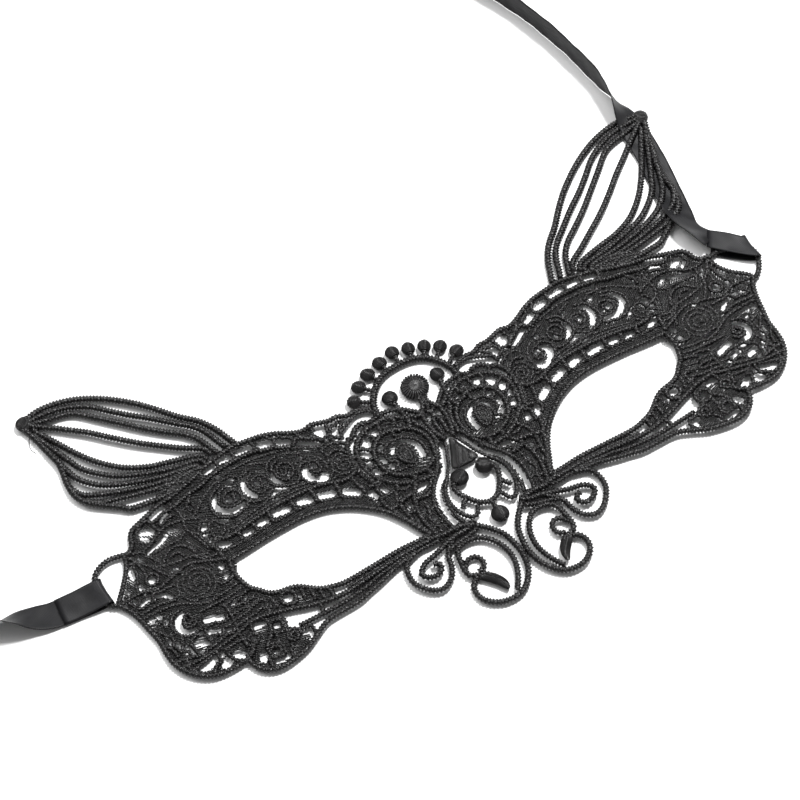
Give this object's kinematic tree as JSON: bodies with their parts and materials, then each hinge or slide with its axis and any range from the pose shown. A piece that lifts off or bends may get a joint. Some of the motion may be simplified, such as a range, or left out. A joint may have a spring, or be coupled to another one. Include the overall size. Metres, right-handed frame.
{
  "type": "lace cat-ear masquerade mask",
  "caption": "Black guipure-lace cat eye mask with rib-shaped ears, scrollwork round the eye holes, and satin ribbon ties looped through the temples.",
  "frame": {"origin": "middle of the lace's plan box, on the table that it lies on face up; the two ribbons are left out of that box", "axes": "+X across the face to the viewer's right, the lace's longest extent; +Y up the face to the ears; +Z out of the face, through the lace, its shortest extent"},
  "size_m": [0.422, 0.3148, 0.01],
  "materials": {
    "lace_cord": "rayon embroidery cord, soft sheen",
    "satin_fill": "satin-stitched thread, glossy",
    "ribbon_satin": "polyester satin ribbon"
  },
  "bodies": {
    "middle": {"crown_arch": "lace_cord", "crown_bud": "satin_fill", "crown_picots": "satin_fill", "crown_side_buds": "satin_fill", "crown_stalks": "lace_cord", "nose_curl_arc": "lace_cord", "nose_curl_heads": "satin_fill", "nose_drop": "satin_fill", "nose_panel": "satin_fill", "left_paisley_heart": "satin_fill", "left_paisley_ring": "lace_cord", "left_shoulder_edge": "lace_cord", "left_nose_band": "lace_cord", "left_nose_scroll": "lace_cord", "left_scroll_leaf": "satin_fill", "left_small_scroll": "lace_cord", "left_eye_corner": "lace_cord", "right_paisley_heart": "satin_fill", "right_paisley_ring": "lace_cord", "right_shoulder_edge": "lace_cord", "right_nose_band": "lace_cord", "right_nose_scroll": "lace_cord", "right_scroll_leaf": "satin_fill", "right_small_scroll": "lace_cord", "right_eye_corner": "lace_cord"},
    "left_side": {"left_brow_edge": "lace_cord", "left_brow_ladder": "lace_cord", "left_eye_rim": "lace_cord", "left_brow_spirals": "lace_cord", "left_brow_scrollwork": "lace_cord", "left_lower_lid": "lace_cord", "left_cheek_edge": "lace_cord", "left_cheek_rosettes": "lace_cord", "left_cheek_mesh": "lace_cord", "left_temple_mesh": "lace_cord", "left_temple_loop": "lace_cord"},
    "left_ear": {"left_ear_tip": "lace_cord", "left_ear_edge": "lace_cord", "left_ear_ribs": "lace_cord"},
    "left_ribbon": {"left_ribbon_fold": "ribbon_satin", "left_ribbon_run": "ribbon_satin", "left_ribbon_coil": "ribbon_satin"},
    "right_side": {"right_brow_edge": "lace_cord", "right_brow_ladder": "lace_cord", "right_eye_rim": "lace_cord", "right_brow_spirals": "lace_cord", "right_brow_scrollwork": "lace_cord", "right_lower_lid": "lace_cord", "right_cheek_edge": "lace_cord", "right_cheek_rosettes": "lace_cord", "right_cheek_mesh": "lace_cord", "right_temple_mesh": "lace_cord", "right_temple_loop": "lace_cord"},
    "right_ear": {"right_ear_tip": "lace_cord", "right_ear_edge": "lace_cord", "right_ear_ribs": "lace_cord"},
    "right_ribbon": {"right_ribbon_fold": "ribbon_satin", "right_ribbon_run": "ribbon_satin", "right_ribbon_coil": "ribbon_satin"}
  },
  "joints": [
    {"name": "left_wrap", "type": "hinge", "parent": "middle", "child": "left_side", "pos_m": [-0.039, 0, 0.0015], "axis": [0, -1, 0], "range_deg": [-60, 60]},
    {"name": "right_wrap", "type": "hinge", "parent": "middle", "child": "right_side", "pos_m": [0.039, 0, 0.0015], "axis": [0, 1, 0], "range_deg": [-60, 60]},
    {"name": "left_ear_fold", "type": "hinge", "parent": "left_side", "child": "left_ear", "pos_m": [-0.078, 0.0234, 0.0015], "axis": [0.9662, 0.2577, 0], "range_deg": [-60, 60]},
    {"name": "right_ear_fold", "type": "hinge", "parent": "right_side", "child": "right_ear", "pos_m": [0.078, 0.0234, 0.0015], "axis": [0.9662, -0.2577, 0], "range_deg": [0, 60]},
    {"name": "left_ribbon_swing", "type": "hinge", "parent": "left_side", "child": "left_ribbon", "pos_m": [-0.1267, -0.0014, 0.0015], "axis": [0, 1, 0], "range_deg": [-90, 90]},
    {"name": "right_ribbon_swing", "type": "hinge", "parent": "right_side", "child": "right_ribbon", "pos_m": [0.1267, -0.0014, 0.0015], "axis": [0, -1, 0], "range_deg": [0, 90]}
  ]
}
